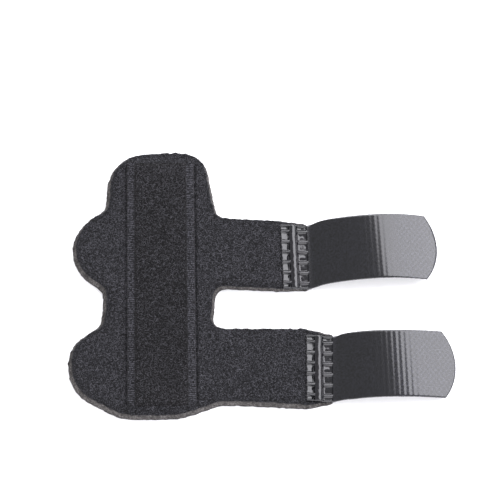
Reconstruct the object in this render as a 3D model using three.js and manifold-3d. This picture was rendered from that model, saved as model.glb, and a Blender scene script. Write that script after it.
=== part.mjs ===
// Finger splint, lying open and flat. A foam pad with two straps is cut from one laminate of
// lining, foam and face fabric. A band of loop tape runs down its middle, and a moulded hook
// tab is welded on the end of each strap, with its smooth back up and its hooks down.
// Millimetres. X runs along the straps, Y towards the head of the pad, Z up.
// The origin is on the underside of the pad, below the middle line of the band.

import * as THREE from 'three';
import * as BufferGeometryUtils from 'three/addons/utils/BufferGeometryUtils.js';
import Module from 'manifold-3d';

const wasm = await Module();
wasm.setup();

// Layers of the laminate, from the underside up, and how far its cut edge flares out below
const liningThickness = 0.5;
const foamThickness = 1.8;
const faceThickness = 0.7;
const bondGap = 0.1;
const edgeFlare = 0.9;

// Band of loop tape, and what is left of the pad past its two ends
const bandWidth = 20;
const bandThickness = 1.1;
const selvedgeWidth = 2.3;
const selvedgeThickness = 0.5;
const bandCornerRound = 2;
const headMargin = 4.3;
const heelMargin = 3.1;

// Pad seen from above: its ends from the origin, its sides from the band's edges, and how far
// the two lobes stand out from the waist
const headReach = 43.2;
const heelReach = 42.5;
const leftMargin = 7.3;
const rightMargin = 6.5;
const headRightMargin = 3.3;
const upperLobe = 9.2;
const lowerLobe = 10.3;

// Heights, along Y, of the left neck and of the two ends of the waist
const neckHeight = 24.6;
const waistTop = -1.6;
const waistBottom = -12.6;

// Straps: how far out the pad's end is there, and its middle below the head or above the heel
const upperStrapReach = 44.2;
const lowerStrapReach = 50.6;
const upperStrapDrop = 34.7;
const lowerStrapRise = 15;

// Fillets of the outline
const headRoundLeft = 12;
const headRoundRight = 8.5;
const lobeRound = 13;
const neckRound = 3;
const waistRound = 3.5;
const gapRound = 2.6;
const heelRound = 14;
const shoulderRound = 4;
const strapEndRound = 1.2;
const leastRound = 0.1;

// Hook tabs, and how far each one reaches past the pad's end
const upperTabReach = 37.8;
const lowerTabReach = 35.3;
const tabWidth = 20.5;
const tabThickness = 0.7;
const tabEndBulge = 4.1;
const tabBendRadius = 2.5;
const tabFlatRun = 0.5;
const seatGap = 0.3;

// Weld of a tab on its strap. Pockets are pressed into the tab to a share of its thickness.
const weldLength = 8.3;
const pocketCount = 7;
const pocketShare = 0.5;
const webWidth = 0.7;

// Straps: endX and endY are the middle of the pad's end there, and reach is that of the tab.
// The rises are how far the strap stands past the tab's two edges, at its root, where the weld
// starts and at its end, in shares of half the tab's width. Turns are in degrees. A tab lifts
// off at one angle, has its crest at a share of its reach, and dips to another angle. sideFlare
// is the flare of the strap's lower side, in shares of edgeFlare.
const straps = [
  {
    name: 'upper', endX: upperStrapReach, endY: headReach - upperStrapDrop, rootHigh: 0.28,
    rootLow: -0.035, weldHigh: 0.17, weldLow: 0.075, endRise: 0.065, weldTurn: 1.2, tabTurn: 2,
    lift: 23, crest: 0.535, dip: 30, reach: upperTabReach, sideFlare: 0.2,
  },
  {
    name: 'lower', endX: lowerStrapReach, endY: lowerStrapRise - heelReach, rootHigh: 0.3,
    rootLow: 0.055, weldHigh: 0.22, weldLow: 0.24, endRise: 0.065, weldTurn: -1.2, tabTurn: 0.9,
    lift: 24, crest: 0.377, dip: 19, reach: lowerTabReach, sideFlare: 1,
  },
];

// Height of the pressed laminate along a weld: 0 is the start of the tab, 1 the pad's end
const weldProfile = [
  { along: -0.12, height: 1 },
  { along: -0.02, height: 0.8 },
  { along: 0.31, height: 0.65 },
  { along: 0.44, height: 0.64 },
  { along: 0.58, height: 0.31 },
  { along: 1, height: 0.27 },
];

// The two columns of pockets of a weld, in shares of its length
const pocketColumns = [
  { from: 0.04, to: 0.31 },
  { from: 0.6, to: 0.92 },
];

// Sizes worked out from the ones above
const padThickness = liningThickness + foamThickness + faceThickness;
const bandHalf = bandWidth / 2;
const tabHalf = tabWidth / 2;
const bodyLeft = bandHalf + leftMargin;
const bodyRight = bandHalf + rightMargin;
const headRight = bandHalf + headRightMargin;

// Steps of an arc, and how far a cutting solid runs past what it cuts
const arcStep = THREE.MathUtils.degToRad(9);
const overrun = 5;
const overlap = 1;

const materials = {
  lining: new THREE.MeshStandardMaterial({ color: 0x26262a, roughness: 0.9, metalness: 0 }),
  foam: new THREE.MeshStandardMaterial({ color: 0x635f60, roughness: 0.95, metalness: 0 }),
  face: new THREE.MeshStandardMaterial({ color: 0x3c3c41, roughness: 0.95, metalness: 0 }),
  band: new THREE.MeshStandardMaterial({ color: 0x323135, roughness: 0.9, metalness: 0 }),
  tab: new THREE.MeshStandardMaterial({ color: 0x37383c, roughness: 0.35, metalness: 0 }),
};

// A point given along and across a weld, from the middle of the pad's end
function weldPoint(strap, along, across) {
  const angle = THREE.MathUtils.degToRad(strap.weldTurn);
  return {
    x: strap.endX + along * Math.cos(angle) - across * Math.sin(angle),
    y: strap.endY + along * Math.sin(angle) + across * Math.cos(angle),
  };
}

// Corners of a strap, from its root along the lower side, round its end and back. The root
// corners have their X and fillet given, and take their Y from the strap.
function strapCorners(strap, lowX, lowRound, highX, highRound) {
  const side = strap.sideFlare;
  const endHalf = tabHalf * (1 + strap.endRise);
  const low = weldPoint(strap, -weldLength, -tabHalf * (1 + strap.weldLow));
  const high = weldPoint(strap, -weldLength, tabHalf * (1 + strap.weldHigh));
  return [
    { x: lowX, y: strap.endY - tabHalf * (1 + strap.rootLow), round: lowRound, flare: side },
    { ...low, round: shoulderRound, flare: side },
    { ...weldPoint(strap, 0, -endHalf), round: strapEndRound, flare: 0.3 },
    { ...weldPoint(strap, 0, endHalf), round: strapEndRound, flare: 1 },
    { ...high, round: shoulderRound, flare: 1 },
    { x: highX, y: strap.endY + tabHalf * (1 + strap.rootHigh), round: highRound, flare: 1 },
  ];
}

// The pad's outline on the underside, anticlockwise. Each corner has its fillet radius and
// the flare, as a share of edgeFlare, of the edge that follows it.
function padCorners() {
  const [upper, lower] = straps;
  const upperLeft = -bodyLeft - upperLobe;
  const lowerLeft = -bodyLeft - lowerLobe;
  return [
    { x: 0.36 * bodyRight, y: -heelReach, round: heelRound, flare: 1 },
    ...strapCorners(lower, 1.06 * bodyRight, heelRound, 0.915 * bodyRight, gapRound),
    ...strapCorners(upper, bodyRight, gapRound, 1.02 * bodyRight, neckRound),
    { x: headRight, y: headReach, round: headRoundRight, flare: 1 },
    { x: -0.9 * bodyLeft, y: headReach, round: headRoundLeft, flare: 1 },
    { x: -0.965 * bodyLeft, y: neckHeight, round: neckRound, flare: 1 },
    { x: upperLeft, y: 0.76 * neckHeight, round: lobeRound, flare: 1 },
    { x: upperLeft, y: 0.18 * neckHeight, round: lobeRound, flare: 1 },
    { x: -bodyLeft, y: waistTop, round: waistRound, flare: 1 },
    { x: -1.03 * bodyLeft, y: waistBottom, round: waistRound, flare: 1 },
    { x: lowerLeft, y: -0.455 * heelReach, round: 0.7 * lobeRound, flare: 1 },
    { x: lowerLeft, y: -0.79 * heelReach, round: lobeRound, flare: 1 },
    { x: -0.68 * bodyLeft, y: -heelReach, round: heelRound, flare: 1 },
  ];
}

// Where the sides of an outline's corners meet once each side is moved out by grow times its
// flare, with the direction in which each side leaves its corner
function movedSides(corners, grow) {
  const count = corners.length;
  const sides = corners.map((corner, i) => {
    const next = corners[(i + 1) % count];
    const length = Math.hypot(next.x - corner.x, next.y - corner.y);
    const dx = (next.x - corner.x) / length;
    const dy = (next.y - corner.y) / length;
    const shift = grow * corner.flare;
    return { dx, dy, x: corner.x + dy * shift, y: corner.y - dx * shift };
  });
  return sides.map((side, i) => {
    const last = sides[(i + count - 1) % count];
    const cross = last.dx * side.dy - last.dy * side.dx;
    const along = ((side.x - last.x) * side.dy - (side.y - last.y) * side.dx) / cross;
    return { dx: side.dx, dy: side.dy, x: last.x + last.dx * along, y: last.y + last.dy * along };
  });
}

// Points round a closed outline with filleted corners, grown outwards from the given one.
// A fillet is held to the sides that it has.
function filletedRing(corners, grow) {
  const count = corners.length;
  const sides = movedSides(corners, grow);
  const bends = corners.map((corner, i) => {
    const before = sides[(i + count - 1) % count];
    const after = sides[i];
    const turn = Math.atan2(
      before.dx * after.dy - before.dy * after.dx,
      before.dx * after.dx + before.dy * after.dy,
    );
    const radius = Math.max(leastRound, corner.round + Math.sign(turn) * grow * corner.flare);
    return { before, turn, radius, tangent: radius * Math.tan(Math.abs(turn) / 2) };
  });
  const room = bends.map((bend, i) => {
    const next = (i + 1) % count;
    const length = Math.hypot(sides[next].x - sides[i].x, sides[next].y - sides[i].y);
    return (0.99 * length) / (bend.tangent + bends[next].tangent);
  });
  return bends.flatMap(({ before, turn, radius, tangent }, i) => {
    const fit = Math.min(1, room[i], room[(i + count - 1) % count]);
    const side = Math.sign(turn) * radius * fit;
    const startX = sides[i].x - before.dx * tangent * fit;
    const startY = sides[i].y - before.dy * tangent * fit;
    const centreX = startX - before.dy * side;
    const centreY = startY + before.dx * side;
    const startAngle = Math.atan2(startY - centreY, startX - centreX);
    const steps = Math.max(1, Math.ceil(Math.abs(turn) / arcStep));
    return Array.from({ length: steps + 1 }, (_, step) => {
      const angle = startAngle + (turn * step) / steps;
      return new THREE.Vector2(
        centreX + Math.abs(side) * Math.cos(angle),
        centreY + Math.abs(side) * Math.sin(angle),
      );
    });
  });
}

// A closed solid through rings of as many points each, given from the lowest up
function loftRings(rings) {
  const count = rings[0].points.length;
  const positions = rings.flatMap(({ points, z }) => points.flatMap((p) => [p.x, p.y, z]));
  const index = [];
  for (let level = 0; level + 1 < rings.length; level++) {
    for (let i = 0; i < count; i++) {
      const low = level * count + i;
      const lowNext = level * count + ((i + 1) % count);
      index.push(low, lowNext, lowNext + count, low, lowNext + count, low + count);
    }
  }
  const lid = (rings.length - 1) * count;
  const points = rings[0].points;
  THREE.ShapeUtils.triangulateShape(points, []).forEach(([a, b, c]) => {
    const area = THREE.ShapeUtils.area([points[a], points[b], points[c]]);
    const [p, q, r] = area > 0 ? [a, b, c] : [a, c, b];
    index.push(p, r, q, lid + p, lid + q, lid + r);
  });
  const geometry = new THREE.BufferGeometry();
  geometry.setAttribute('position', new THREE.Float32BufferAttribute(positions, 3));
  geometry.setIndex(index);
  return geometry;
}

// A profile of X and Z points, extruded along Y between two places
function extrudeAlongY(profile, fromY, toY) {
  const shape = new THREE.Shape(profile.map((p) => new THREE.Vector2(p.x, p.z)));
  const geometry = new THREE.ExtrudeGeometry(shape, { depth: toY - fromY, bevelEnabled: false });
  geometry.rotateX(Math.PI / 2);
  geometry.translate(0, toY, 0);
  return geometry;
}

// A plan outline extruded up between two heights
function extrudeUp(points, fromZ, toZ) {
  return loftRings([{ points, z: fromZ }, { points, z: toZ }]);
}

function solidFrom(geometry) {
  const bare = geometry.clone();
  bare.deleteAttribute('normal');
  bare.deleteAttribute('uv');
  const merged = BufferGeometryUtils.mergeVertices(bare, 1e-4);
  return new wasm.Manifold(new wasm.Mesh({
    numProp: 3,
    vertProperties: new Float32Array(merged.attributes.position.array),
    triVerts: new Uint32Array(merged.index.array),
  }));
}

function geometryFrom(solid) {
  const { vertProperties, triVerts } = solid.getMesh();
  const geometry = new THREE.BufferGeometry();
  geometry.setAttribute('position', new THREE.Float32BufferAttribute(vertProperties, 3));
  geometry.setIndex(Array.from(triVerts));
  geometry.computeVertexNormals();
  return geometry;
}

// The heights of a surface of the laminate over a weld, from the pad's end at X 0
function weldSurface(heightOf) {
  return weldProfile.map(({ along, height }) => ({
    x: (along - 1) * weldLength,
    z: heightOf(height * padThickness),
  }));
}

// A profile over a weld as a solid as wide as the strap, placed on the pad
function acrossStrap(strap, profile) {
  const geometry = extrudeAlongY(
    profile, -tabHalf * (1 + strap.weldLow) - overlap, tabHalf * (1 + strap.weldHigh) + overlap,
  );
  geometry.rotateZ(THREE.MathUtils.degToRad(strap.weldTurn));
  geometry.translate(strap.endX, strap.endY, 0);
  return solidFrom(geometry);
}

// All that lies over or under a strap's weld
function weldZone(strap, startX) {
  return acrossStrap(strap, [
    { x: startX, z: -2 * overrun },
    { x: overrun, z: -2 * overrun },
    { x: overrun, z: padThickness + overrun },
    { x: startX, z: padThickness + overrun },
  ]);
}

// The solid between a surface over a weld and a far height, run on a little at both ends
function weldBlock(strap, heightOf, farZ) {
  const surface = weldSurface(heightOf);
  const first = { x: surface[0].x - overlap, z: surface[0].z };
  const last = { x: overrun, z: surface[surface.length - 1].z };
  return acrossStrap(strap, [
    first, ...surface, last, { x: last.x, z: farZ }, { x: first.x, z: farZ },
  ]);
}

// All that lies below the bottom surface of a layer
function spaceBelow(bottomOf) {
  const bottom = bottomOf(padThickness);
  const width = 2 * Math.max(...straps.map(({ endX }) => endX + overrun));
  const flat = new THREE.BoxGeometry(width, 2 * (headReach + heelReach), bottom + overrun);
  flat.translate(0, 0, (bottom - overrun) / 2);
  return straps.reduce((space, strap) => (
    space
      .subtract(weldZone(strap, weldSurface(bottomOf)[0].x))
      .add(weldBlock(strap, bottomOf, -overrun))
  ), solidFrom(flat));
}

// One layer of the pad between two surfaces given by the pad's local height. Its edge runs
// from one flare at the bottom to another at the top, both in shares of edgeFlare.
function padLayer(bottomOf, topOf, bottomFlare, topFlare) {
  const corners = padCorners();
  const ringAt = (flare) => filletedRing(corners, (flare - 1) * edgeFlare);
  const bottom = bottomOf(padThickness);
  const rings = [
    { points: ringAt(bottomFlare), z: bottom },
    { points: ringAt(topFlare), z: topOf(padThickness) },
  ];
  if (bottom > 0) {
    rings.unshift({ points: ringAt(bottomFlare), z: 0 });
  }
  const layer = straps.reduce((solid, strap) => (
    solid.subtract(weldBlock(strap, topOf, padThickness + overrun))
  ), solidFrom(loftRings(rings)));
  return geometryFrom(bottom > 0 ? layer.subtract(spaceBelow(bottomOf)) : layer);
}

// Tops of the lining and the foam where the laminate is pressed to a height
const liningTop = (height) => (height * liningThickness) / padThickness;
const foamTop = (height) => (height * (liningThickness + foamThickness)) / padThickness;

function backLining() {
  return padLayer(() => 0, liningTop, 1, 0.95);
}

function foamCore() {
  return padLayer(
    (height) => liningTop(height) + bondGap, (height) => foamTop(height) - bondGap, 0.95, 0.2,
  );
}

function faceFabric() {
  return padLayer(foamTop, (height) => height, 0.15, 0);
}

// Flat tape with thin selvedges and a thicker pile between them
function loopBand() {
  const pileHalf = bandHalf - selvedgeWidth;
  const bottom = padThickness + bondGap;
  const top = bottom + bandThickness;
  const selvedgeTop = bottom + selvedgeThickness;
  const profile = [
    { x: -bandHalf, z: bottom },
    { x: bandHalf, z: bottom },
    { x: bandHalf, z: selvedgeTop },
    { x: pileHalf, z: selvedgeTop },
    { x: pileHalf - selvedgeThickness, z: top },
    { x: selvedgeThickness - pileHalf, z: top },
    { x: -pileHalf, z: selvedgeTop },
    { x: -bandHalf, z: selvedgeTop },
  ];
  const low = heelMargin - heelReach;
  const high = headReach - headMargin;
  const corners = [
    [-bandHalf, low], [bandHalf, low], [bandHalf, high], [-bandHalf, high],
  ].map(([x, y]) => ({ x, y, round: bandCornerRound, flare: 0 }));
  const strip = solidFrom(extrudeAlongY(profile, low - overrun, high + overrun));
  return geometryFrom(
    strip.intersect(solidFrom(extrudeUp(filletedRing(corners, 0), 0, top + overrun))),
  );
}

// The height of a profile at a place between two of its points
function heightAt(profile, x) {
  const after = Math.max(1, profile.findIndex((p) => p.x > x));
  const [a, b] = [profile[after - 1], profile[after]];
  return a.z + ((b.z - a.z) * (x - a.x)) / (b.x - a.x);
}

// The stretch of a profile between two places
function stretchOf(profile, fromX, toX) {
  return [
    { x: fromX, z: heightAt(profile, fromX) },
    ...profile.filter(({ x }) => x > fromX && x < toX),
    { x: toX, z: heightAt(profile, toX) },
  ];
}

// The seat of a tab along its weld, which follows the pressed pad and runs on past its end
function tabSeat() {
  const surface = weldSurface((height) => height + seatGap);
  surface.push({ x: overrun, z: surface[surface.length - 1].z });
  return stretchOf(surface, -weldLength, tabFlatRun);
}

// The middle line of a tab's free part: flat, bent up, then arched over its crest
function archLine(strap, startZ) {
  const line = [
    { x: -overlap, z: startZ, tilt: 0 },
    { x: tabFlatRun, z: startZ, tilt: 0 },
  ];
  const bendTo = (tilt, radius) => {
    const start = line[line.length - 1];
    const turn = tilt - start.tilt;
    const side = Math.sign(turn) * radius;
    const steps = 2 * Math.ceil(Math.abs(turn) / arcStep);
    for (let step = 1; step <= steps; step++) {
      const now = start.tilt + (turn * step) / steps;
      line.push({
        x: start.x + side * (Math.sin(now) - Math.sin(start.tilt)),
        z: start.z + side * (Math.cos(start.tilt) - Math.cos(now)),
        tilt: now,
      });
    }
    return line[line.length - 1].x;
  };
  const lift = THREE.MathUtils.degToRad(strap.lift);
  const dip = THREE.MathUtils.degToRad(strap.dip);
  const archStart = bendTo(lift, tabBendRadius);
  const crest = bendTo(0, (strap.crest * strap.reach - archStart) / Math.sin(lift));
  bendTo(-dip, (strap.reach - crest) / Math.sin(dip));
  return line;
}

// The free part of a tab, arched, with its rounded end
function freeStrip(strap, startZ) {
  const line = archLine(strap, startZ);
  const surface = (side) => line.map(({ x, z, tilt }) => ({
    x: x - side * Math.sin(tilt),
    z: z + side * Math.cos(tilt),
  }));
  const profile = [...surface(-tabThickness / 2), ...surface(tabThickness / 2).reverse()];

  const endRadius = (tabHalf ** 2 + tabEndBulge ** 2) / (2 * tabEndBulge);
  const centreX = strap.reach - endRadius;
  const halfAngle = Math.asin(tabHalf / endRadius);
  const steps = Math.ceil((2 * halfAngle) / arcStep);
  const outline = Array.from({ length: steps + 1 }, (_, step) => {
    const angle = halfAngle * ((2 * step) / steps - 1);
    return new THREE.Vector2(
      centreX + endRadius * Math.cos(angle), endRadius * Math.sin(angle),
    );
  });
  outline.push(new THREE.Vector2(-overrun, tabHalf), new THREE.Vector2(-overrun, -tabHalf));

  const strip = solidFrom(extrudeAlongY(profile, -tabHalf, tabHalf));
  const rounded = strip.intersect(solidFrom(extrudeUp(outline, -overrun, strap.reach)));
  const turn = THREE.MathUtils.degToRad(strap.tabTurn - strap.weldTurn);
  return solidFrom(geometryFrom(rounded).rotateZ(turn));
}

// What is pressed out of a tab's welded part: two columns of pockets with webs between them
function weldPockets(top) {
  const pitch = tabWidth / pocketCount;
  return pocketColumns.flatMap(({ from, to }) => {
    const floor = stretchOf(top, (from - 1) * weldLength, (to - 1) * weldLength)
      .map(({ x, z }) => ({ x, z: z - pocketShare * tabThickness }));
    const lid = [floor[floor.length - 1], floor[0]]
      .map(({ x }) => ({ x, z: padThickness + overrun }));
    return Array.from({ length: pocketCount }, (_, row) => {
      const low = -tabHalf + row * pitch + webWidth / 2;
      return solidFrom(extrudeAlongY([...floor, ...lid], low, low + pitch - webWidth));
    });
  });
}

// A tab in its weld's frame, whose origin is at the end of the pad
function hookTab(strap) {
  const seat = tabSeat();
  const top = seat.map(({ x, z }) => ({ x, z: z + tabThickness }));
  const welded = solidFrom(extrudeAlongY([...seat, ...[...top].reverse()], -tabHalf, tabHalf));
  const free = freeStrip(strap, seat[seat.length - 1].z + tabThickness / 2);
  const tab = weldPockets(top).reduce(
    (solid, pocket) => solid.subtract(pocket), welded.add(free),
  );
  return geometryFrom(tab);
}

function mesh(name, geometry, material) {
  const piece = new THREE.Mesh(geometry, material);
  piece.name = name;
  return piece;
}

const splint = new THREE.Group();
splint.add(mesh('back_lining', backLining(), materials.lining));
splint.add(mesh('foam_core', foamCore(), materials.foam));
splint.add(mesh('face_fabric', faceFabric(), materials.face));
splint.add(mesh('loop_band', loopBand(), materials.band));

straps.forEach((strap) => {
  const place = new THREE.Group();
  place.position.set(strap.endX, strap.endY, 0);
  place.rotation.z = THREE.MathUtils.degToRad(strap.weldTurn);
  place.add(mesh(`${strap.name}_hook_tab`, hookTab(strap), materials.tab));
  splint.add(place);
});

export default splint;
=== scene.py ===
"""The looks of a finger splint that lies open on a pale table.

The pad is a laminate of lining, foam and brushed loop cloth. A loop tape runs down its middle,
and a moulded hook tab is welded on the end of each of its two straps.
Shapes are worked out in millimetres and turned into metres when a piece is made.
"""

import math

import bpy
import numpy as np
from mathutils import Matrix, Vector
from mathutils.bvhtree import BVHTree
from mathutils.geometry import delaunay_2d_cdt
from mathutils.kdtree import KDTree


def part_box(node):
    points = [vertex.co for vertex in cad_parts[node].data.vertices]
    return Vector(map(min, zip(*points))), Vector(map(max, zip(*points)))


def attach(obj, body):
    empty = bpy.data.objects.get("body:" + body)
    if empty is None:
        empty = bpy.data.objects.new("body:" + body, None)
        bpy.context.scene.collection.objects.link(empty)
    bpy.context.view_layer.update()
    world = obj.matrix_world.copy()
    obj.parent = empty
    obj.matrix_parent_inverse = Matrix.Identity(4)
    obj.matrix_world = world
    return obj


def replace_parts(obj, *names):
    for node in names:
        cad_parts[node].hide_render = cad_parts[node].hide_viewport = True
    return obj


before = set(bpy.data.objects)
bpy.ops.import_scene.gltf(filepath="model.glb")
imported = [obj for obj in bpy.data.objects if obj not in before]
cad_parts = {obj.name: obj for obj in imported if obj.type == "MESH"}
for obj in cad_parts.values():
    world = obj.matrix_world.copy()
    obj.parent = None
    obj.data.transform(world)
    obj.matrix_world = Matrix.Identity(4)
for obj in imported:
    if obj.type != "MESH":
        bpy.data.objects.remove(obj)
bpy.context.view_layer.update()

MM = 0.001

# Laminate: the tops of the lining and the foam, in shares of the pad's height
LINING_TOP = 0.167
FOAM_TOP = 0.767

# Loop tape, whose height is that of its pile
TAPE_HEIGHT = 1.1
TAPE_CORNER = 2.0
SELVEDGE_WIDTH = 2.3
SELVEDGE_HEIGHT = 0.55
RIB_PITCH = 0.6
RIB_DEPTH = 0.11

# Hook tabs, each with the middle of its strap's end and the turns in degrees of its weld and its
# free part. The free part lies a little aside of the solid's, and is wider by a share and longer.
# Its tip is skewed, and its back has rows of dimples.
TABS = [
    {"name": "upper", "end": (44.2, 8.5), "weld_turn": 1.2, "tab_turn": 2.0, "aside": 0.3,
     "wider": 0.01, "longer": 0.4, "skew": 0.035, "dimple": 0.008},
    {"name": "lower", "end": (50.6, -27.5), "weld_turn": -1.2, "tab_turn": 0.9, "aside": -0.2,
     "wider": 0.023, "longer": 0.3, "skew": 0.0, "dimple": 0.012},
]
TAB_SHEET = 0.38
TIP_BULGE = 3.6
HOOK_PITCH = 1.52
HOOK_HEIGHT = 0.42
# Pitches of the dark dots that the tabs' painted reflection leaves over the hooks
PAINTED_DOT_PITCHES = (HOOK_PITCH, 1.3 * HOOK_PITCH)

# Places along a tab, from the pad's end on, between which the weld's turn becomes the free
# part's, the free part moves aside, and the weld's shift runs out
TURN_SPAN = (0.0, 3.0)
ASIDE_SPAN = (0.0, 6.0)
SHIFT_SPAN = (-2.0, 4.0)

# Welds, which lie a little nearer to the heel than in the solids and slope down a little later.
# A column of pockets has its start and stop, as shares of the weld's length, and a depth at each.
WELD_LENGTH = 8.3
WELD_SHIFT = 0.6
SLOPE_SHIFT = 0.35
SOLID_POCKET_ROWS = 7
POCKET_PITCH = 3.33
POCKET_COLUMNS = ((-0.06, 0.31, 0.35, 1.05), (0.56, 0.95, 0.75, 0.35))
COLUMN_EDGE = 0.045
WEB_WIDTH = 0.5
WEB_EDGE = 0.35
WEB_SLOPE = 0.28

# The bar between the columns rises and falls between shares of the weld's length
BAR_RISE = (0.30, 0.42)
BAR_FALL = (0.50, 0.95)
BAR_HEIGHT = 0.25

# Camera, as the photograph was taken
CAMERA_TURN = 1.05
CAMERA_ELEVATION = 66.0
CAMERA_DISTANCE = 910.0
CAMERA_TARGET = (26.56, 11.32, 0.0)
CAMERA_LENS = 219.5
SENSOR = 36.0


# Solids of the frame

def tree_of(node):
    """A search tree of a CAD node's faces."""
    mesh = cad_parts[node].data
    points = [v.co for v in mesh.vertices]
    return BVHTree.FromPolygons(points, [tuple(f.vertices) for f in mesh.polygons])


def top_at(tree, x, y):
    """The height of a node's highest surface over a place, in mm, or nan beside it."""
    hit = tree.ray_cast(Vector((x * MM, y * MM, 0.1)), Vector((0, 0, -1)))[0]
    return hit.z / MM if hit else math.nan


def underside_outline(node):
    """The outline of a node's flat underside, anticlockwise, in mm."""
    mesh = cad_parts[node].data
    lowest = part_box(node)[0].z
    edges = set()
    for face in mesh.polygons:
        corners = [tuple(round(c / MM, 4) for c in mesh.vertices[v].co) for v in face.vertices]
        if max(c[2] for c in corners) > lowest / MM + 0.001:
            continue
        for a, b in zip(corners, corners[1:] + corners[:1]):
            if (b, a) in edges:
                edges.remove((b, a))
            else:
                edges.add((a, b))
    following = dict(edges)
    start = next(iter(sorted(following)))
    outline = [start]
    while following[outline[-1]] != start:
        outline.append(following[outline[-1]])
    points = np.array(outline)[:, :2]
    x, y = points.T
    area = np.sum(x * np.roll(y, -1) - np.roll(x, -1) * y)
    return points if area > 0 else points[::-1]


# Number work

def smoothed(values, reach, closed=True):
    """A running mean over reach neighbours each way, taken twice."""
    for _ in range(2):
        wide = np.pad(values, [(reach, reach)] + [(0, 0)] * (values.ndim - 1),
                      mode="wrap" if closed else "edge")
        total = np.cumsum(np.concatenate([np.zeros_like(wide[:1]), wide]), axis=0)
        values = (total[2 * reach + 1:] - total[:-2 * reach - 1]) / (2 * reach + 1)
    return values


def resampled(points, spacing):
    """Points at an even spacing round a closed outline."""
    closed = np.vstack([points, points[:1]])
    along = np.concatenate([[0], np.cumsum(np.linalg.norm(np.diff(closed, axis=0), axis=1))])
    count = round(along[-1] / spacing)
    at = np.arange(count) * along[-1] / count
    return np.column_stack([np.interp(at, along, closed[:, k]) for k in (0, 1)])


def smoothstep(value, low, high):
    """0 up to low and 1 from high on, with a smooth rise between them."""
    share = np.clip((value - low) / (high - low), 0, 1)
    return share * share * (3 - 2 * share)


def grain(x, y, size, seed):
    """Smooth random heights from -1 to 1, with bumps about as wide as size."""
    cells = 512
    lattice = np.random.default_rng(seed).uniform(-1, 1, (cells, cells))
    i, j = np.floor(x / size).astype(int), np.floor(y / size).astype(int)
    s, t = smoothstep(x / size - i, 0, 1), smoothstep(y / size - j, 0, 1)
    low = lattice[i % cells, j % cells] * (1 - s) + lattice[(i + 1) % cells, j % cells] * s
    high = lattice[i % cells, (j + 1) % cells] * (1 - s)
    high = high + lattice[(i + 1) % cells, (j + 1) % cells] * s
    return low * (1 - t) + high * t


def layered_grain(x, y, layers):
    """Random relief made of layers with a height, a size and a seed each."""
    return sum(height * grain(x, y, size, seed) for height, size, seed in layers)


class HeightMap:
    """Heights of the pad's top, without its pile, on a grid that reaches past its edge."""

    PITCH = 0.5
    MARGIN = 4.0

    def __init__(self, node):
        low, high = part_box(node)
        tree = tree_of(node)
        self.x0, self.y0 = low.x / MM - self.MARGIN, low.y / MM - self.MARGIN
        columns = int((high.x / MM + self.MARGIN - self.x0) / self.PITCH) + 1
        rows = int((high.y / MM + self.MARGIN - self.y0) / self.PITCH) + 1
        self.z = np.array([
            [top_at(tree, self.x0 + i * self.PITCH, self.y0 + j * self.PITCH) for j in range(rows)]
            for i in range(columns)
        ])
        self.spread_out()
        self.z = smoothed(smoothed(self.z, 1, False).T, 1, False).T

    def spread_out(self):
        """Gives the places beside the pad the heights of their nearest neighbours on it."""
        while np.isnan(self.z).any():
            wide = np.pad(self.z, 1, constant_values=np.nan)
            around = np.stack([wide[:-2, 1:-1], wide[2:, 1:-1], wide[1:-1, :-2], wide[1:-1, 2:]])
            known = ~np.isnan(around)
            total = np.where(known, around, 0).sum(axis=0)
            count = known.sum(axis=0)
            fill = np.isnan(self.z) & (count > 0)
            self.z[fill] = total[fill] / count[fill]

    def at(self, x, y):
        """Heights at places, worked out from the four grid points round each."""
        u = np.clip((x - self.x0) / self.PITCH, 0, self.z.shape[0] - 1.001)
        v = np.clip((y - self.y0) / self.PITCH, 0, self.z.shape[1] - 1.001)
        i, j = u.astype(int), v.astype(int)
        s, t = u - i, v - j
        low = self.z[i, j] * (1 - s) + self.z[i + 1, j] * s
        high = self.z[i, j + 1] * (1 - s) + self.z[i + 1, j + 1] * s
        return low * (1 - t) + high * t


# Meshes

def piece(name, points, faces, material, slot):
    """A smooth piece from points in mm and arrays of faces with as many corners each."""
    mesh = bpy.data.meshes.new(name)
    sizes = np.concatenate([np.full(len(f), f.shape[1]) for f in faces])
    corners = np.concatenate([f.ravel() for f in faces])
    mesh.vertices.add(len(points))
    mesh.vertices.foreach_set("co", (points * MM).astype(np.float32).ravel())
    mesh.loops.add(len(corners))
    mesh.loops.foreach_set("vertex_index", corners.astype(np.int32))
    mesh.polygons.add(len(sizes))
    mesh.polygons.foreach_set("loop_start", (np.cumsum(sizes) - sizes).astype(np.int32))
    mesh.polygons.foreach_set("use_smooth", np.ones(len(sizes), bool))
    mesh.update(calc_edges=True)
    mesh.validate()
    made = bpy.data.objects.new(name, mesh)
    bpy.context.scene.collection.objects.link(made)
    mesh.materials.append(material)
    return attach(made, "root")


def lattice_inside(ring, spacing, keep=None):
    """Points of a three-way lattice inside a ring and clear of it."""
    near = KDTree(len(ring))
    for i, (x, y) in enumerate(ring):
        near.insert((x, y, 0), i)
    near.balance()
    after = np.roll(ring, -1, axis=0)
    found = []
    rise = spacing * math.sqrt(3) / 2
    low, high = ring.min(axis=0), ring.max(axis=0)
    for row in range(int((high[1] - low[1]) / rise)):
        y = low[1] + (row + 0.5) * rise
        crossing = (ring[:, 1] > y) != (after[:, 1] > y)
        a, b = ring[crossing], after[crossing]
        cuts = np.sort(a[:, 0] + (y - a[:, 1]) / (b[:, 1] - a[:, 1]) * (b[:, 0] - a[:, 0]))
        for start, end in zip(cuts[::2], cuts[1::2]):
            first = math.ceil(start / spacing - row % 2 / 2)
            last = math.floor(end / spacing - row % 2 / 2)
            found += [((n + row % 2 / 2) * spacing, y) for n in range(first, last + 1)]
    if keep is not None:
        found = [p for p in found if keep(*p)]
    return np.array([p for p in found if near.find((*p, 0))[2] > 0.7 * spacing])


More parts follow.
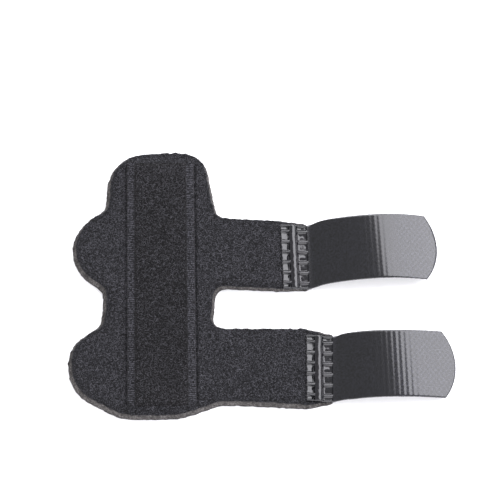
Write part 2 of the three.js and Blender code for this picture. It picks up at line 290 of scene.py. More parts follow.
def filled(ring, inner):
    """Triangles over a ring and points inside it, as indices into the two put together.

    A triangle of ring points alone is inside if it meets them in the ring's own order.
    """
    count = len(ring)
    points = [Vector(p) for p in np.vstack([ring, inner])]
    made = delaunay_2d_cdt(points, [], [list(range(count))], 1, 1e-7, True)
    source = np.array([from_points[0] for from_points in made[3]])
    found = source[np.array(made[2])]
    round_ring = sum((found[:, k] - found[:, k - 1]) % count for k in range(3)) == count
    return found[round_ring | (found >= count).any(axis=1)]


def walls(rings, count):
    """Quads between rings of as many points each, from the top inner one to the bottom one."""
    i = np.arange(count)
    after = (i + 1) % count
    return np.concatenate([
        np.column_stack([k * count + i, (k + 1) * count + i,
                         (k + 1) * count + after, k * count + after])
        for k in range(rings - 1)
    ])


def layered_body(rings, top_inner, bottom_inner):
    """A closed body from rings of points, with inner points on its top and its underside."""
    count = len(rings[0])
    first_top = len(rings) * count
    first_bottom = first_top + len(top_inner)
    last = (len(rings) - 1) * count
    top = filled(rings[0][:, :2], top_inner[:, :2])
    top = np.where(top < count, top, top - count + first_top)
    bottom = filled(rings[-1][:, :2], bottom_inner[:, :2])[:, ::-1]
    bottom = np.where(bottom < count, bottom + last, bottom - count + first_bottom)
    points = np.vstack([*rings, top_inner, bottom_inner])
    return points, [walls(len(rings), count), np.vstack([top, bottom])]


def strands(paths, radius):
    """Fine three-sided tubes along paths of as many points each."""
    count, steps, _ = paths.shape
    sides = 3
    ahead = np.gradient(paths, axis=1)
    ahead /= np.linalg.norm(ahead, axis=2, keepdims=True)
    across = np.cross(ahead, (0.1, 0.2, 1.0))
    across /= np.linalg.norm(across, axis=2, keepdims=True)
    over = np.cross(across, ahead)
    turns = 2 * math.pi * np.arange(sides) / sides
    rings = (np.cos(turns)[:, None] * across[:, :, None, :]
             + np.sin(turns)[:, None] * over[:, :, None, :])
    points = (paths[:, :, None, :] + radius * rings).reshape(-1, 3)
    strand, step, side = np.meshgrid(
        np.arange(count), np.arange(steps - 1), np.arange(sides), indexing="ij")
    start = (strand * steps + step) * sides
    after = (side + 1) % sides
    quads = np.stack(
        [start + side, start + sides + side, start + sides + after, start + after], axis=-1)
    first = np.arange(count) * steps * sides
    last = first + (steps - 1) * sides
    caps = np.vstack([
        np.column_stack([first, first + 1, first + 2]),
        np.column_stack([last + 2, last + 1, last]),
    ])
    return points, [quads.reshape(-1, 4), caps]


def fibre_loops(sites, seed, length, height, bow):
    """Paths of small loops of pile that stand on sites, with size ranges in mm."""
    random = np.random.default_rng(seed)
    count = len(sites)
    heading = random.uniform(0, 2 * math.pi, count)
    ahead = np.column_stack([np.cos(heading), np.sin(heading)])
    aside = np.column_stack([-ahead[:, 1], ahead[:, 0]])
    share = np.linspace(0, 1, 5)
    run = random.uniform(*length, count)[:, None] * (share - 0.5)
    side = random.uniform(-bow, bow, count)[:, None] * np.sin(math.pi * share)
    plan = sites[:, None, :2] + run[..., None] * ahead[:, None] + side[..., None] * aside[:, None]
    rise = random.uniform(*height, count)[:, None] * np.sin(math.pi * share) - 0.06
    return np.dstack([plan, sites[:, None, 2] + rise])


# Materials

SOCKETS = {
    "sheen_weight": "Sheen Weight", "sheen_roughness": "Sheen Roughness", "ior": "IOR",
    "specular": "Specular IOR Level",
}


class Finish:
    """A material made of nodes, whose grain is read from the place on the object."""

    def __init__(self, name, roughness, **settings):
        self.material = bpy.data.materials.new(name)
        self.material.use_nodes = True
        self.nodes = self.material.node_tree.nodes
        self.links = self.material.node_tree.links
        self.shader = self.nodes["Principled BSDF"]
        self.shader.inputs["Roughness"].default_value = roughness
        for socket, value in settings.items():
            self.shader.inputs[SOCKETS[socket]].default_value = value
        self.place = self.nodes.new("ShaderNodeTexCoord").outputs["Object"]

    def add(self, kind, inputs, **settings):
        """A node with values or links on its inputs."""
        node = self.nodes.new(kind)
        for key, value in settings.items():
            setattr(node, key, value)
        for key, value in inputs.items():
            if isinstance(value, bpy.types.NodeSocket):
                self.links.new(value, node.inputs[key])
            else:
                node.inputs[key].default_value = value
        return node

    def stretched(self, scale):
        """The place on the object, scaled along each axis."""
        return self.add("ShaderNodeVectorMath", {0: self.place, 1: scale},
                        operation="MULTIPLY").outputs[0]

    def noise(self, size, detail=2.0, roughness=0.6, place=None):
        """Noise with grains about as wide as size, in mm."""
        node = self.add("ShaderNodeTexNoise", {
            "Vector": place or self.place, "Scale": 1 / (size * MM), "Detail": detail,
            "Roughness": roughness,
        })
        return node.outputs["Fac"]

    def ramp(self, value, stops):
        """A colour that changes with a value, between stops of a position and a colour each."""
        node = self.add("ShaderNodeValToRGB", {"Fac": value})
        elements = node.color_ramp.elements
        while len(elements) < len(stops):
            elements.new(0.5)
        for element, (position, colour) in zip(elements, stops):
            element.position = position
            element.color = (*colour, 1)
        return node.outputs["Color"]

    def blend(self, kind, share, a, b):
        """Two colours put together in one of the ways of the colour mix node."""
        node = self.add("ShaderNodeMix", {}, data_type="RGBA", blend_type=kind)
        for socket, value in ((node.inputs[0], share), (node.inputs[6], a), (node.inputs[7], b)):
            if isinstance(value, bpy.types.NodeSocket):
                self.links.new(value, socket)
            else:
                socket.default_value = value
        return node.outputs[2]

    def number(self, operation, *values):
        """The result of one operation on numbers."""
        node = self.add("ShaderNodeMath", dict(enumerate(values)), operation=operation)
        return node.outputs[0]

    def spread(self, value, low, high, to_low, to_high):
        """A value moved from one range to another and kept inside it."""
        node = self.add("ShaderNodeMapRange", {
            "Value": value, "From Min": low, "From Max": high, "To Min": to_low,
            "To Max": to_high,
        })
        return node.outputs["Result"]

    def axis(self, name):
        """The place on the object along one axis."""
        return self.add("ShaderNodeSeparateXYZ", {0: self.place}).outputs[name]

    def colour(self, value):
        """Sets the material's colour."""
        self.links.new(value, self.shader.inputs["Base Color"])

    def bump(self, height, depth):
        """Gives the surface a relief that is about as deep as depth, in mm."""
        node = self.add("ShaderNodeBump", {
            "Height": height, "Distance": depth * MM, "Strength": 1.0,
        })
        self.links.new(node.outputs["Normal"], self.shader.inputs["Normal"])


def grey(value, tint):
    """A grey whose channels are moved by shares of its value."""
    return tuple(value * (1 + t) for t in tint)


# Tints, as shares by which red, green and blue are moved from grey
COOL = (-0.02, -0.03, 0.12)
BROWN = (0.0, -0.04, 0.07)
WARM = (0.07, 0.0, -0.02)
INKY = (-0.05, -0.04, 0.30)

# Places along Y over which the tape gets lighter, and along X over which the tabs get a painted
# reflection that leaves dark dots over the hooks' dimples
LIGHT_SPAN = (24.0, 38.0)
PAINTED_REFLECTION_SPAN = (66.0, 73.0)


def cloth_finish():
    """Brushed loop cloth: fine light and dark flecks over soft blotches."""
    finish = Finish("brushed_cloth", 0.9, specular=0.12, sheen_weight=0.05, sheen_roughness=0.5)
    flecks = finish.ramp(finish.noise(0.29, 1.0, 0.7), [
        (0.36, grey(0.001, COOL)), (0.50, grey(0.004, COOL)), (0.66, grey(0.042, COOL)),
    ])
    blotch = finish.spread(finish.noise(6.0, 2.0), 0.3, 0.7, 0.90, 1.10)
    finish.colour(finish.blend("MULTIPLY", 1.0, flecks, blotch))
    finish.bump(finish.noise(0.3, 3.0, 0.7), 0.12)
    return finish.material


def fibre_finish(name, tone, tint):
    """Single fibres of a pile, each a little lighter or darker than the next."""
    finish = Finish(name, 0.7, specular=0.3, sheen_weight=0.05, sheen_roughness=0.4)
    fleck = finish.noise(0.8, 1.0)
    finish.colour(finish.ramp(fleck, [
        (0.35, grey(0.4 * tone, tint)), (0.65, grey(1.8 * tone, tint)),
    ]))
    return finish.material


def tape_finish(half):
    """Loop tape: dark pile between ribbed selvedges whose ribs have painted shade in their grooves,
    lighter towards both of its ends.
    """
    finish = Finish("loop_tape", 0.9, specular=0.12, sheen_weight=0.04, sheen_roughness=0.5)
    flecks = finish.ramp(finish.noise(0.34, 1.0, 0.7), [
        (0.40, grey(0.0005, BROWN)), (0.52, grey(0.002, BROWN)), (0.66, grey(0.030, BROWN)),
    ])
    along = finish.number("ABSOLUTE", finish.axis("Y"))
    ends = finish.spread(along, LIGHT_SPAN[0] * MM, LIGHT_SPAN[1] * MM, 1.0, 1.35)
    pile = finish.blend("MULTIPLY", 1.0, flecks, ends)
    # The selvedges' ribs are painted darker in their grooves as painted shade and lighter on their
    # crests, in step with their relief, and times random flecks.
    turn = finish.number("MULTIPLY", finish.axis("Y"), math.pi / (RIB_PITCH * MM))
    wave = finish.number("ABSOLUTE", finish.number("SINE", turn))
    rib_shade_and_flecks = finish.blend("MULTIPLY", 1.0, finish.ramp(wave, [
        (0.15, grey(0.001, COOL)), (0.80, grey(0.026, COOL)),
    ]), finish.spread(finish.noise(0.45, 1.0, 0.7), 0.38, 0.66, 0.05, 2.5))
    aside = finish.number("ABSOLUTE", finish.axis("X"))
    selvedge = (half - SELVEDGE_WIDTH) * MM
    share = finish.spread(aside, selvedge - 0.1 * MM, selvedge + 0.3 * MM, 0.0, 1.0)
    finish.colour(finish.blend("MIX", share, pile, rib_shade_and_flecks))
    finish.bump(finish.noise(0.25, 3.0, 0.7), 0.1)
    return finish.material


def foam_finish():
    """Cut edge of open-celled foam."""
    finish = Finish("cut_foam", 0.95, specular=0.15)
    cell = finish.noise(0.5, 3.0, 0.65)
    cells = finish.ramp(cell, [
        (0.34, grey(0.019, WARM)), (0.50, grey(0.053, WARM)), (0.66, grey(0.105, WARM)),
    ])
    blotch = finish.spread(finish.noise(2.2, 2.0), 0.35, 0.65, 0.7, 1.3)
    finish.colour(finish.blend("MULTIPLY", 1.0, cells, blotch))
    finish.bump(finish.noise(0.35, 3.0), 0.15)
    return finish.material


def lining_finish():
    """Smooth dark knit."""
    finish = Finish("knit_lining", 0.85, specular=0.15, sheen_weight=0.05, sheen_roughness=0.5)
    stitch = finish.noise(0.5, 2.0, 0.6, finish.stretched((1.0, 2.5, 1.0)))
    finish.colour(finish.ramp(stitch, [
        (0.35, grey(0.006, COOL)), (0.65, grey(0.020, COOL)),
    ]))
    finish.bump(stitch, 0.08)
    return finish.material


def tab_finish():
    """Moulded glossy sheet, painted lighter towards its end as a painted reflection of the light,
    which leaves dark dots over the hooks below.
    """
    finish = Finish("moulded_tab", 0.12, ior=1.5)
    turns = []
    for axis, pitch in zip("XY", PAINTED_DOT_PITCHES):
        turn = finish.number("MULTIPLY", finish.axis(axis), 2 * math.pi / (pitch * MM))
        turns.append(finish.number("SINE", turn))
    # Past a place along X the sheet is painted lighter between the hooks' dimples, as a painted
    # reflection of the light; the dots keep the dark colour.
    between = finish.spread(finish.number("MULTIPLY", *turns), -0.2, 0.6, 1.0, 0.0)
    shown = finish.spread(finish.axis("X"), PAINTED_REFLECTION_SPAN[0] * MM, PAINTED_REFLECTION_SPAN[1] * MM, 0.0, 1.0)
    share = finish.number("MULTIPLY", between, shown)
    sheet = finish.ramp(share, [(0.0, grey(0.005, INKY)), (1.0, grey(0.016, INKY))])
    film = finish.spread(finish.noise(0.45, 1.0), 0.3, 0.7, 0.2, 1.9)
    finish.colour(finish.blend("MULTIPLY", 1.0, sheet, film))
    finish.bump(finish.noise(0.7, 3.0), 0.002)
    return finish.material


# Pad

# Spacing of the points round the edge, on the cloth that shows, and on what is covered
RING_SPACING = 0.3
TOP_SPACING = 0.235
HIDDEN_SPACING = 1.6

# The cut edge: shares of its lean at shares of its height, how much more it leans on the left,
# and its raggedness as a height, a size and a seed
LEAN_SHARES = ([0, LINING_TOP, FOAM_TOP, 1], [0, 0.05, 0.82, 1])
LEFT_LEAN = 0.5
CUT_GRAIN = (0.14, 1.1, 16)

# How far a layer's covered rings reach in, and how far a layer's top lies below the next layer
FLANGE = 1.0
LINING_GAP = 0.04
FOAM_GAP = 0.02

# The lining's edge, as its inset at the top and then shares of the pad's height and places inward
LINING_INSET = 0.3
LINING_ROLLS = ((0.11, 0.15), (0.05, 0.12), (0.0, 0.2), (0.0, FLANGE))

# The foam's cut edge
FOAM_INSET = 0.1
FOAM_BULGE = 0.16
FOAM_PORES = 0.15

# The cloth's relief in layers, and its rolled edge as places inward and up
CLOTH_GRAIN = ((0.055, 0.5, 11), (0.045, 0.3, 12), (0.09, 5.0, 13), (0.04, 1.7, 14))
EDGE_ROLLS = ((1.1, 0.0), (0.8, 0.0), (0.55, 0.0), (0.32, -0.02), (0.12, -0.06), (0.0, -0.16))
FRINGE_DEPTH = 0.26
FRINGE_GRAIN = (0.14, 0.8, 15)

# The trough that the tape presses into the cloth along its sides, and the swell past its ends
TROUGH_PLACE = 0.25
TROUGH_WIDTH = 0.32
LEFT_TROUGH = 0.45
RIGHT_TROUGH = 0.75
SWELL_HEIGHT = 0.55
SWELL_REACH = 1.1

outline = smoothed(resampled(underside_outline("back_lining"), RING_SPACING), 3)
ahead = np.roll(outline, -1, axis=0) - np.roll(outline, 1, axis=0)
ahead /= np.linalg.norm(ahead, axis=1, keepdims=True)
outward = np.column_stack([ahead[:, 1], -ahead[:, 0]])
pad_height = HeightMap("face_fabric")
tape_low, tape_high = (Vector(corner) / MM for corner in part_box("loop_band"))


def edge_height():
    """The pad's height all round, read a little way in from the edge."""
    inward = 1.6
    x, y = (outline - inward * outward).T
    return smoothed(pad_height.at(x, y), 2)


def edge_inset():
    """How far the cut leans in from the underside to the top, all round."""
    tree = tree_of("face_fabric")
    outside, near_top, most = 2, 0.93, 1.2
    found = []
    for (x, y), (dx, dy), height in zip(outline, outward, rim_height):
        start = Vector((x + outside * dx, y + outside * dy, near_top * height)) * MM
        hit = tree.ray_cast(start, Vector((-dx, -dy, 0)))[0]
        found.append((hit - start).length / MM - outside if hit else math.nan)
    found = np.array(found)
    known = np.flatnonzero(~np.isnan(found))
    found = np.interp(np.arange(len(found)), known, found[known], period=len(found))
    return smoothed(np.clip(found, 0, most), 5)


rim_height = edge_height()
rim_inset = edge_inset() + LEFT_LEAN * np.clip(-outward[:, 0], 0, 1)
ragged = layered_grain(*outline.T, [CUT_GRAIN])


def pad_ring(share, inward=0.0, raised=0.0):
    """A ring round the pad at a share of its height, moved in and up by some mm."""
    lean = rim_inset * np.interp(share, *LEAN_SHARES) + ragged
    plan = outline - outward * (lean + inward)[:, None]
    return np.column_stack([plan, share * rim_height + raised])


def beside_tape(x, y, margin=0.6):
    """Whether a place on the pad isn't under the loop tape."""
    return (x < tape_low.x + margin or x > tape_high.x - margin
            or y < tape_low.y + margin or y > tape_high.y - margin)


def inner_points(ring, height_of):
    """Points of a covered surface inside a ring."""
    plan = lattice_inside(ring[:, :2], HIDDEN_SPACING)
    return np.column_stack([plan, height_of(*plan.T)])


def nap(x, y):
    """Relief of the brushed cloth, pressed down along the tape and swollen at its ends."""
    beside = np.maximum(tape_low.x - x, x - tape_high.x)
    beyond = np.maximum(tape_low.y - y, y - tape_high.y)
    trough = np.exp(-((beside - TROUGH_PLACE) / TROUGH_WIDTH) ** 2)
    trough = trough * (1 - smoothstep(beyond, -1.0, 0.0)) * np.where(x > 0, RIGHT_TROUGH, LEFT_TROUGH)
    swell = SWELL_HEIGHT * np.exp(-(np.maximum(beyond, 0) / SWELL_REACH) ** 2)
    swell = swell * (1 - smoothstep(beside, -0.5, 0.5))
    return layered_grain(x, y, CLOTH_GRAIN) - trough + swell


def make_lining():
    """The lining, whose rounded edge lies a little inside the foam's."""
    rings = [pad_ring(LINING_TOP, inward, -LINING_GAP) for inward in (FLANGE, LINING_INSET)]
    rings += [pad_ring(share, inward) for share, inward in LINING_ROLLS]
    top = inner_points(rings[0], lambda x, y: LINING_TOP * pad_height.at(x, y) - LINING_GAP)
    bottom = inner_points(rings[-1], lambda x, y: np.zeros_like(x))
    made = piece("lining_sheet", *layered_body(rings, top, bottom), lining_finish(), "lining")
    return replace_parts(made, "back_lining")


def make_foam():
    """The foam, whose cut edge bulges and is rough with open pores."""
    random = np.random.default_rng(21)
    rings = [pad_ring(FOAM_TOP, FLANGE, -FOAM_GAP)]
    for share in np.linspace(FOAM_TOP, LINING_TOP, 9):
        height = (share - LINING_TOP) / (FOAM_TOP - LINING_TOP)
        ring = pad_ring(share, FOAM_INSET - FOAM_BULGE * math.sin(math.pi * height))
        pores = smoothed(random.normal(0, FOAM_PORES, len(ring)), 1)
        ring[:, :2] += outward * pores[:, None]
        rings.append(ring)
    rings.append(pad_ring(LINING_TOP, FLANGE))
    top = inner_points(rings[0], lambda x, y: FOAM_TOP * pad_height.at(x, y) - FOAM_GAP)
    bottom = inner_points(rings[-1], lambda x, y: LINING_TOP * pad_height.at(x, y))
    made = piece("foam_pad", *layered_body(rings, top, bottom), foam_finish(), "foam")
    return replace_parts(made, "foam_core")


def make_cloth():
    """The brushed cloth with its rolled and fringed edge, and the points of it that show."""
    random = np.random.default_rng(22)
    fringe = smoothed(random.normal(0, FRINGE_DEPTH, len(outline)), 1)
    fringe = fringe + layered_grain(*outline.T, [FRINGE_GRAIN])
    rings = []
    for inward, raised in EDGE_ROLLS:
        ring = pad_ring(1.0, inward, raised)
        ring[:, 2] += 0.5 * (1 + smoothstep(inward, 0.0, 0.3)) * nap(ring[:, 0], ring[:, 1])
        ring[:, :2] += outward * (fringe * (1 - smoothstep(inward, 0.0, 0.5)))[:, None]
        rings.append(ring)
    rings += [pad_ring(FOAM_TOP + 0.06), pad_ring(FOAM_TOP, 0.08), pad_ring(FOAM_TOP, FLANGE)]
    shown = lattice_inside(rings[0][:, :2], TOP_SPACING, beside_tape)
    hidden = lattice_inside(rings[0][:, :2], HIDDEN_SPACING,
                            lambda x, y: not beside_tape(x, y, 1.4))
    shown = np.column_stack([shown, pad_height.at(*shown.T) + nap(*shown.T)])
    hidden = np.column_stack([hidden, pad_height.at(*hidden.T)])
    bottom = inner_points(rings[-1], lambda x, y: FOAM_TOP * pad_height.at(x, y))
    body = layered_body(rings, np.vstack([shown, hidden]), bottom)
    made = piece("face_cloth", *body, cloth_finish(), "face")
    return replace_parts(made, "face_fabric"), shown


# Loop tape

TAPE_STEP_ALONG = 0.15
TAPE_STEP_ACROSS = 0.26
TAPE_GRAIN = ((0.06, 0.5, 32), (0.05, 0.3, 33), (0.06, 3.5, 34))
TAPE_SUNK = 0.08
TAPE_EDGE_DROP = 0.22

# The tape's ends are lower by a share of its height, over this length
TAPE_END_DROP = 0.42
TAPE_END_REACH = 1.5

# The rows and columns of the tape's points from which loops of pile rise
PILE_ROWS = slice(8, -8)
PILE_COLUMNS = slice(11, -11)


def tape_relief(x, y, half):
    """Height of the tape's top over its underside: ribbed selvedges and a pile between them."""
    inside = half - np.abs(x)
    rib = RIB_DEPTH * np.abs(np.sin(math.pi * y / RIB_PITCH)) ** 0.7
    selvedge = SELVEDGE_HEIGHT + rib * (1 + 0.3 * grain(x, y, 0.8, 31))
    pile = TAPE_HEIGHT + layered_grain(x, y, TAPE_GRAIN)
    share = smoothstep(inside, SELVEDGE_WIDTH - 0.35, SELVEDGE_WIDTH + 0.25)
    edge = 1 - smoothstep(inside, 0.0, 0.3)
    return selvedge * (1 - share) + pile * share - TAPE_EDGE_DROP * edge


def make_tape():
    """The loop tape, and the points of its top."""
    half = (tape_high.x - tape_low.x) / 2
    rows = int((tape_high.y - tape_low.y) / TAPE_STEP_ALONG) + 1
    columns = int(2 * half / TAPE_STEP_ACROSS) + 1
    y = np.linspace(tape_low.y, tape_high.y, rows)
    into = np.clip(TAPE_CORNER - np.minimum(y - tape_low.y, tape_high.y - y), 0, None)
    width = half - TAPE_CORNER + np.sqrt(TAPE_CORNER ** 2 - into ** 2)
    x = np.linspace(-1, 1, columns)[None, :] * width[:, None]
    y = np.repeat(y[:, None], columns, axis=1)
    end = 1 - smoothstep(np.minimum(y - tape_low.y, tape_high.y - y), 0.0, TAPE_END_REACH)
    base = tape_low.z - TAPE_SUNK
    top = base + tape_relief(x, y, half) * (1 - TAPE_END_DROP * end)
    points = np.vstack([
        np.dstack([x, y, top]).reshape(-1, 3),
        np.dstack([x, y, np.full_like(x, base)]).reshape(-1, 3),
    ])
    made = piece("loop_tape", points, sheet_faces(rows, columns), tape_finish(half), "band")
    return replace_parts(made, "loop_band"), np.dstack([x, y, top])


def sheet_faces(rows, columns):
    """Quads of a closed sheet: a grid of points on top, and as many below it."""
    i, j = np.meshgrid(np.arange(rows - 1), np.arange(columns - 1), indexing="ij")
    a = i * columns + j
    top = np.stack([a, a + 1, a + columns + 1, a + columns], axis=-1).reshape(-1, 4)
    count = rows * columns
    bottom = top[:, ::-1] + count
    rim = np.concatenate([
        np.arange(columns - 1),
        np.arange(rows - 1) * columns + columns - 1,
        rows * columns - 1 - np.arange(columns - 1),
        (rows - 1 - np.arange(rows - 1)) * columns,
    ])
    after = np.roll(rim, -1)
    sides = np.column_stack([rim, rim + count, after + count, after])
    return [np.vstack([top, bottom, sides])]


# Hook tabs

WELD_STEP = 0.14
FREE_STEP = 0.22
ACROSS_STEP = 0.19
ROUNDED_EDGE = 0.35
ROUNDED_DROP = 0.10
THINNEST = 0.15
SEAT_GAP = 0.03

# A hook from its root, as places towards the tip of the tab and up
HOOK_SHAPE = ((0, 0.05), (0, -0.16), (0.05, -0.30), (0.16, -HOOK_HEIGHT), (0.28, -0.33))
HOOK_RADIUS = 0.075
FIRST_HOOK = 1.8


class Tab:
    """A hook tab's place, profile and outline, in mm along and across it, read from its solid."""

    def __init__(self, name, end, weld_turn, tab_turn, aside, wider, longer, skew, dimple):
        self.name = name
        self.aside = aside
        self.wider = wider
        self.longer = longer
        self.skew = skew
        self.dimple = dimple
        self.node = f"{name}_hook_tab"
        self.end = np.array(end)
        self.turns = (math.radians(weld_turn), math.radians(tab_turn))
        self.tree = tree_of(self.node)
        self.half = self.measured_half()
        self.reach, self.profile = self.measured_profile()

    def heading(self, along):
        """The turn of the tab, which changes from the weld's to the free part's."""
        share = smoothstep(along, *TURN_SPAN)
        return self.turns[0] * (1 - share) + self.turns[1] * share

    def place_on_solid(self, along, across):
        """Plan places of points given along and across the tab's solid."""
        turn = np.where(along < 0, self.turns[0], self.turns[1])
        side = self.heading(along)
        x = self.end[0] + along * np.cos(turn) - across * np.sin(side)
        y = self.end[1] + along * np.sin(turn) + across * np.cos(side)
        return x, y

    def place(self, along, across):
        """Plan places of points on the tab, which is fitted a little beside its solid."""
        free = smoothstep(along, *ASIDE_SPAN)
        across = across * (1 + self.wider * free) + self.aside * free
        shift = WELD_SHIFT * (1 - smoothstep(along, *SHIFT_SPAN))
        return self.place_on_solid(along, across - shift)

    def measured_half(self):
        """Half the tab's width, measured across its free part."""
        along, below_top, outside = 12.0, 0.3, 30.0
        x, y = (float(value) for value in self.place_on_solid(np.array(along), np.array(0.0)))
        turn = self.turns[1]
        side = Vector((-math.sin(turn), math.cos(turn), 0))
        start = Vector((x, y, top_at(self.tree, x, y) - below_top)) * MM + side * outside * MM
        hit = self.tree.ray_cast(start, -side)[0]
        return outside - (hit - start).length / MM

    def solid_heights(self, along, across):
        """Heights of the solid's top at places along a line at one place across it."""
        x, y = self.place_on_solid(along, np.full_like(along, across))
        return np.array([top_at(self.tree, *place) for place in zip(x, y)])

    def measured_profile(self):
        """The tab's reach past the pad, and the height of its top along a web of the weld.

        The height goes on past the tip at the tip's slope, and is smoother on the free part.
        """
        step, farthest = 0.1, 60
        along = np.arange(0.02 - WELD_LENGTH, farthest, step)
        reach = along[~np.isnan(self.solid_heights(along, 0.0))][-1] + step / 2
        fourth_web = -self.half + 4 * 2 * self.half / SOLID_POCKET_ROWS
        height = self.solid_heights(along, fourth_web)
        known = ~np.isnan(height)
        along, height = along[known], height[known]
        past = np.arange(1, 60) * step
        slope = (height[-1] - height[-20]) / (along[-1] - along[-20])
        along = np.concatenate([along, along[-1] + past])
        height = np.concatenate([height, height[-1] + slope * past])
        fine, wide = smoothed(height, 3, False), smoothed(height, 18, False)
        share = smoothstep(along, 1.5, 4.5)
        return reach, (along, fine * (1 - share) + wide * share)

    def top(self, along):
        """Heights of the tab's smooth back, without its relief."""
        return np.interp(along, *self.profile)

    def end_at(self, across):
        """How far the rounded end reaches at a place across the tab."""
        radius = (self.half ** 2 + TIP_BULGE ** 2) / (2 * TIP_BULGE)
        tip = self.reach + self.longer + self.skew * across
        return tip - radius + np.sqrt(radius ** 2 - across ** 2)


def flat_top(value, low, high, edge):
    """1 between two values and 0 outside them, with soft edges of some width."""
    return smoothstep(value, low, low + edge) * (1 - smoothstep(value, high - edge, high))


def weld_relief(tab, along, across):
    """Pockets that the weld pressed into the tab, with leaning webs and a bar between them."""
    share = along / WELD_LENGTH + 1
    row = (across + POCKET_PITCH / 2) % POCKET_PITCH
    open_row = flat_top(row, WEB_WIDTH / 2, POCKET_PITCH - WEB_WIDTH / 2, WEB_EDGE)
    open_row = open_row * smoothstep(tab.half - np.abs(across), 0.2, 0.5)
    past_web = (row + POCKET_PITCH / 2) % POCKET_PITCH - POCKET_PITCH / 2
    lean = WEB_SLOPE * np.clip(past_web, -WEB_WIDTH, WEB_WIDTH) * (1 - open_row)
    relief = np.zeros_like(along)
    for start, stop, first_depth, last_depth in POCKET_COLUMNS:
        depth = first_depth + (last_depth - first_depth) * (share - start) / (stop - start)
        depth = depth * (1 + 0.10 * grain(along, across, 0.9, 51))
        relief -= (depth * open_row + lean) * flat_top(share, start, stop, COLUMN_EDGE)
    bar = BAR_HEIGHT * smoothstep(share, *BAR_RISE) * (1 - smoothstep(share, *BAR_FALL))
    return relief + bar * (1 + 0.2 * grain(along, across, 1.3, 52))


def hook_relief(tab, along, across):
    """The faint dimples that the hooks below leave in the sheet's smooth back."""
    rows = np.cos(2 * math.pi * along / HOOK_PITCH)
    dots = np.cos(math.pi * along / HOOK_PITCH) * np.cos(2 * math.pi * across / HOOK_PITCH)
    return tab.dimple * rows + 0.0012 * dots


def make_tab(tab, material):
    """A tab's sheet, which is seated on its strap along the weld and free past the strap's end."""
    columns = int(2 * tab.half / ACROSS_STEP) + 1
    across = np.linspace(-tab.half, tab.half, columns)
    welded = np.arange(-WELD_LENGTH, 0, WELD_STEP)
    free = np.linspace(0, 1, int(tab.reach / FREE_STEP))[:, None]
    straight = tab.reach - 5
    along_free = free * straight + (tab.end_at(across)[None, :] - straight) * free ** 6
    along = np.vstack([np.repeat(welded[:, None], columns, axis=1), along_free])
    rows = len(along)
    across = np.repeat(across[None, :], rows, axis=0)
    x, y = tab.place(along, across)
    top = tab.top(along - SLOPE_SHIFT * (1 - smoothstep(along, -2.8, -1.2)))
    on_weld = 1 - smoothstep(along, -0.2, 0.6)
    rim = 1 - smoothstep(tab.half - np.abs(across), 0.0, ROUNDED_EDGE)
    tip = 1 - smoothstep(tab.end_at(across) - along, 0.0, ROUNDED_EDGE)
    start = 1 - smoothstep(along + WELD_LENGTH, 0.0, ROUNDED_EDGE)
    top = top + weld_relief(tab, along, across) * (along < 0)
    top = top + hook_relief(tab, along, across) * smoothstep(along, 1.5, 4.0)
    top = top - ROUNDED_DROP * np.maximum(np.maximum(rim, tip), start) ** 2
    seat = pad_height.at(x, y) + SEAT_GAP
    bottom = (tab.top(along) - TAB_SHEET) * (1 - on_weld) + seat * on_weld
    bottom = np.minimum(bottom, top - THINNEST)
    points = np.vstack([
        np.dstack([x, y, top]).reshape(-1, 3), np.dstack([x, y, bottom]).reshape(-1, 3),
    ])
    faces = [sheet_faces(rows, columns)[0][:, ::-1]]
    made = piece(f"{tab.name}_tab", points, faces, material, "tab")
    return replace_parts(made, tab.node)


def hook_paths(tab):
    """Paths of the hooks under a tab's free part, which curl towards its tip."""
    shape = np.array(HOOK_SHAPE)
    along, across = np.meshgrid(
        np.arange(FIRST_HOOK, tab.reach, HOOK_PITCH),
        np.arange(-tab.half + 0.8, tab.half - 0.5, HOOK_PITCH), indexing="ij")
    along, across = along.ravel(), across.ravel()
    clear = along < tab.end_at(across) - 0.7
    along, across = along[clear], across[clear]
    slope = np.arctan((tab.top(along + 0.3) - tab.top(along - 0.3)) / 0.6)
    run = along[:, None] + shape[:, 0] * np.cos(slope)[:, None]
    run = run - shape[:, 1] * np.sin(slope)[:, None]
    height = tab.top(along)[:, None] - TAB_SHEET + shape[:, 1] * np.cos(slope)[:, None]
    height = height + shape[:, 0] * np.sin(slope)[:, None]
    x, y = tab.place(run, np.repeat(across[:, None], len(shape), axis=1))
    return np.dstack([x, y, np.maximum(height, 1.2 * HOOK_RADIUS)])


# Object

CLOTH_LOOPS = 5000
TAPE_LOOPS = 3200
FIBRE_RADIUS = 0.035

lining = make_lining()
foam = make_foam()
cloth, cloth_points = make_cloth()
tape, tape_top = make_tape()

random = np.random.default_rng(41)
cloth_sites = cloth_points[random.choice(len(cloth_points), CLOTH_LOOPS, replace=False)]
tape_sites = tape_top[PILE_ROWS, PILE_COLUMNS].reshape(-1, 3)
tape_sites = tape_sites[random.choice(len(tape_sites), TAPE_LOOPS, replace=False)]

cloth_pile = piece(
    "cloth_pile",
    *strands(fibre_loops(cloth_sites, 42, (0.5, 1.2), (0.08, 0.24), 0.3), FIBRE_RADIUS),
    fibre_finish("cloth_fibres", 0.060, COOL), "face")
tape_pile = piece(
    "tape_pile",
    *strands(fibre_loops(tape_sites, 43, (0.5, 1.1), (0.10, 0.28), 0.3), FIBRE_RADIUS),
    fibre_finish("tape_fibres", 0.045, COOL), "band")

glossy = tab_finish()
for row in TABS:
    tab = Tab(**row)
    make_tab(tab, glossy)
    piece(f"{tab.name}_hooks", *strands(hook_paths(tab), HOOK_RADIUS), glossy, "tab")


# Table, light and camera

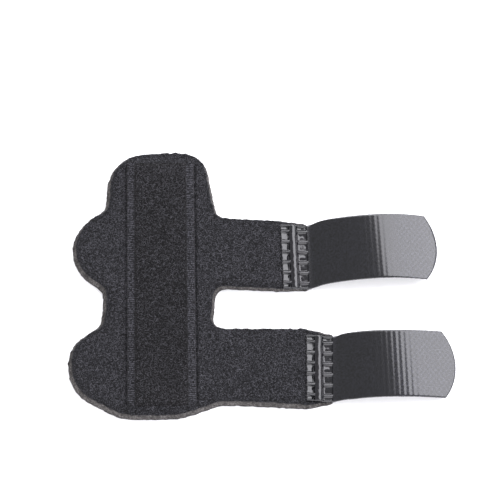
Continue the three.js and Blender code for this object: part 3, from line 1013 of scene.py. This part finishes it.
def make_floor():
    """A pale table top, just under the splint."""
    bpy.ops.mesh.primitive_plane_add(size=6, location=(0, 0, -0.00002))
    floor = bpy.context.object
    floor.name = "table_top"
    finish = Finish("pale_table", 0.9)
    finish.shader.inputs["Base Color"].default_value = (0.95, 0.95, 0.95, 1)
    floor.data.materials.append(finish.material)


def make_panel(name, radiance, size, place, turn):
    """A panel of light, whose radiance doesn't change with its size."""
    data = bpy.data.lights.new(name, "AREA")
    data.shape = "RECTANGLE"
    data.size, data.size_y = size
    data.color = (0.985, 0.98, 1.035)
    data.energy = radiance * math.pi * size[0] * size[1]
    light = bpy.data.objects.new(name, data)
    bpy.context.scene.collection.objects.link(light)
    light.location = place
    light.rotation_euler = turn
    return light


def make_lights():
    """An overhead panel, whose front edge shows in the glossy tabs, and one that fills in front."""
    height = 0.55
    near, far = Vector((0.116, 0.261)), Vector((0.212, 0.200))
    along = (far - near).normalized()
    back = Vector((-along.y, along.x))
    size = (1.5, 1.0)
    middle = near + along * 0.2 + back * size[1] / 2
    turn = math.atan2(along.y, along.x)
    make_panel("back_panel", 6.6, size, (middle.x, middle.y, height), (0, 0, turn))
    make_panel("front_panel", 3.0, (1.8, 0.9), (0.05, -0.75, 0.45), (math.radians(60), 0, 0))


def make_world():
    """Even white light from all round."""
    world = bpy.data.worlds.new("studio")
    bpy.context.scene.world = world
    world.use_nodes = True
    background = world.node_tree.nodes["Background"]
    background.inputs["Color"].default_value = (1, 1, 1, 1)
    background.inputs["Strength"].default_value = 0.7


def make_camera():
    """The camera, at the angle and the distance of the photograph."""
    data = bpy.data.cameras.new("camera")
    data.lens = CAMERA_LENS
    data.sensor_width = SENSOR
    data.clip_start, data.clip_end = 0.05, 10
    camera = bpy.data.objects.new("camera", data)
    bpy.context.scene.collection.objects.link(camera)
    turn, tilt = math.radians(-CAMERA_TURN), math.radians(CAMERA_ELEVATION)
    back = Vector((math.sin(turn), -math.cos(turn), 0)) * math.cos(tilt)
    back.z = math.sin(tilt)
    camera.location = (Vector(CAMERA_TARGET) + back * CAMERA_DISTANCE) * MM
    camera.rotation_euler = (math.pi / 2 - tilt, 0, turn)
    bpy.context.scene.camera = camera


make_floor()
make_lights()
make_world()
make_camera()
bpy.context.scene.view_settings.view_transform = "Standard"
